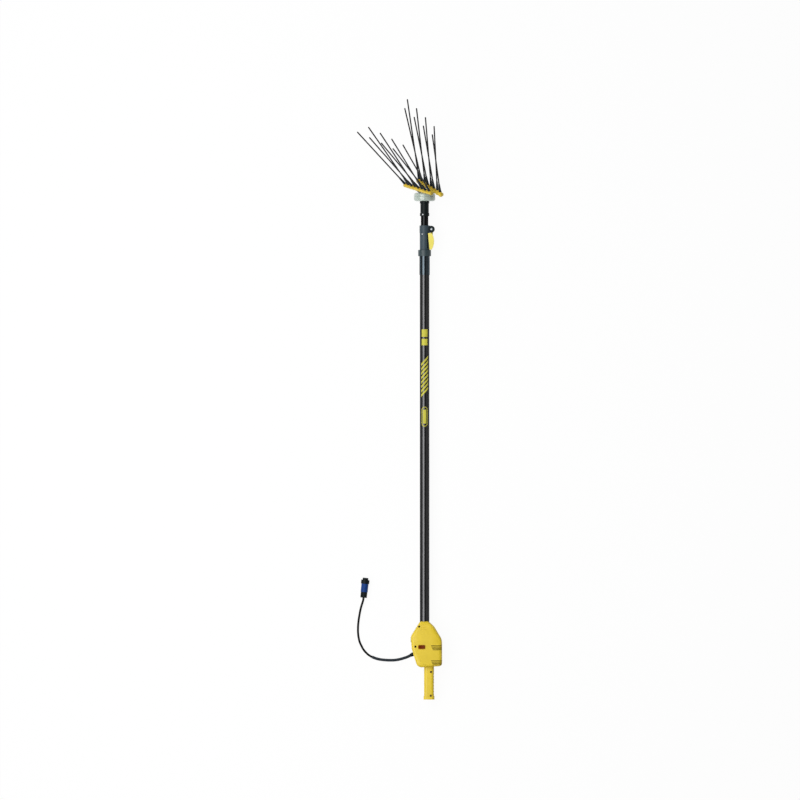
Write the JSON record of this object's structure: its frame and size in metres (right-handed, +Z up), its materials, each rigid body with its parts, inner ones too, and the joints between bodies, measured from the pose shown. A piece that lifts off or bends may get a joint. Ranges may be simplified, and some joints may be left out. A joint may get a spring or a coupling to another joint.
{
  "type": "electric olive harvester",
  "caption": "Pole-mounted electric olive harvester with a motor housing and handle at the foot, a telescopic clamped pole and two rocking combs of splayed tines at the head.",
  "frame": {"origin": "centre of the flat rest pad on the back of the motor housing, on the floor", "axes": "+Y along the pole from the handle to the combs, +Z up from the floor towards the front of the tool, +X to the right seen from the front"},
  "size_m": [0.3223, 2.2266, 0.3423],
  "materials": {
    "yellow_shell": "moulded satin",
    "grey_seal": "matt",
    "zinc_steel": "zinc plated",
    "black_plastic": "moulded",
    "red_switch": "gloss",
    "blue_grey_sleeve": "satin",
    "black_cable": "satin",
    "blue_plug": "moulded",
    "motor_steel": "machined",
    "motor_copper": "wound",
    "brass_gear": "cut",
    "green_board": "solder mask",
    "black_tube": "black anodised",
    "grey_tube": "polished dark",
    "dark_clamp": "moulded",
    "slate_clamp": "moulded",
    "yellow_lever": "gloss",
    "shaft_aluminium": "drawn",
    "pale_gearbox": "gloss moulded",
    "yellow_comb": "moulded",
    "boot_rubber": "matt",
    "black_tine": "pultruded carbon fibre"
  },
  "bodies": {
    "power_unit": {"housing_front": "yellow_shell", "housing_back": "yellow_shell", "housing_gasket": "grey_seal", "housing_screws": "zinc_steel", "switch_frame": "black_plastic", "cable_gland": "black_plastic", "cable_sleeve": "blue_grey_sleeve", "power_cable": "black_cable", "plug_nut": "black_plastic", "plug_shell": "blue_plug", "plug_nose": "black_plastic", "motor_case": "motor_steel", "gear_bearing": "motor_steel", "control_board": "green_board", "outer_tube": "black_tube", "pole_sleeve": "grey_tube", "clamp_collar": "dark_clamp", "clamp_body": "slate_clamp", "clamp_pin": "zinc_steel"},
    "switch": {"switch_rocker": "red_switch"},
    "plug_lock": {"plug_ring": "black_plastic"},
    "rotor": {"motor_rotor": "motor_copper", "motor_fan": "black_plastic", "pinion": "brass_gear"},
    "drive_shaft": {"drive_gear": "motor_steel", "drive_tube": "shaft_aluminium"},
    "lever": {"clamp_lever": "yellow_lever"},
    "mast": {"inner_tube": "black_tube", "guide_bush": "black_plastic", "head_socket": "black_plastic", "socket_screw": "zinc_steel", "gearbox_bowl": "pale_gearbox", "gearbox_cover": "pale_gearbox", "cover_screws": "zinc_steel"},
    "crank_shaft": {"drive_rod": "motor_steel", "crank": "motor_steel"},
    "comb_right": {"rocker_right": "motor_steel", "comb_arm_right": "black_plastic", "comb_bar_right": "yellow_comb", "tine_boots_right": "boot_rubber", "tine_right_1": "black_tine", "tine_right_2": "black_tine", "tine_right_3": "black_tine", "tine_right_4": "black_tine", "tine_right_5": "black_tine", "tine_right_6": "black_tine", "tine_right_7": "black_tine", "tine_right_8": "black_tine"},
    "comb_left": {"rocker_left": "motor_steel", "comb_arm_left": "black_plastic", "comb_bar_left": "yellow_comb", "tine_boots_left": "boot_rubber", "tine_left_1": "black_tine", "tine_left_2": "black_tine", "tine_left_3": "black_tine", "tine_left_4": "black_tine", "tine_left_5": "black_tine", "tine_left_6": "black_tine", "tine_left_7": "black_tine", "tine_left_8": "black_tine"}
  },
  "joints": [
    {"name": "mast_slide", "type": "slide", "parent": "power_unit", "child": "mast", "axis": [0, 1, 0], "range_m": [0, 0.75]},
    {"name": "lever_swing", "type": "hinge", "parent": "power_unit", "child": "lever", "pos_m": [0.025, 1.561, 0.04], "axis": [0, 0, 1], "range_deg": [0, 110]},
    {"name": "switch_tilt", "type": "hinge", "parent": "power_unit", "child": "switch", "pos_m": [-0.011, 0.008, 0.08], "axis": [0, 1, 0], "range_deg": [-5, 5]},
    {"name": "plug_lock_turn", "type": "hinge", "parent": "power_unit", "child": "plug_lock", "pos_m": [-0.2273, 0.19, 0.0155], "axis": [0.1063, 0.9943, 0], "range_deg": [0, 60]},
    {"name": "drive_spin", "type": "hinge", "parent": "power_unit", "child": "drive_shaft", "pos_m": [0, 0, 0.04], "axis": [0, 1, 0], "continuous": true},
    {"name": "motor_spin", "type": "hinge", "parent": "power_unit", "child": "rotor", "pos_m": [0.03, 0, 0.04], "axis": [0, 1, 0], "continuous": true},
    {"name": "crank_spin", "type": "hinge", "parent": "mast", "child": "crank_shaft", "pos_m": [0, 1.6, 0.04], "axis": [0, 1, 0], "continuous": true},
    {"name": "comb_right_rock", "type": "hinge", "parent": "mast", "child": "comb_right", "pos_m": [0.019, 1.68, 0.04], "axis": [0, 1, 0], "range_deg": [-7, 7]},
    {"name": "comb_left_rock", "type": "hinge", "parent": "mast", "child": "comb_left", "pos_m": [-0.019, 1.68, 0.04], "axis": [0, 1, 0], "range_deg": [-7, 7]}
  ],
  "couplings": [
    {"joint": "motor_spin", "follows": "drive_spin", "ratio": -1.5},
    {"joint": "crank_spin", "follows": "drive_spin", "ratio": 1},
    {"joint": "comb_left_rock", "follows": "comb_right_rock", "ratio": -1}
  ]
}
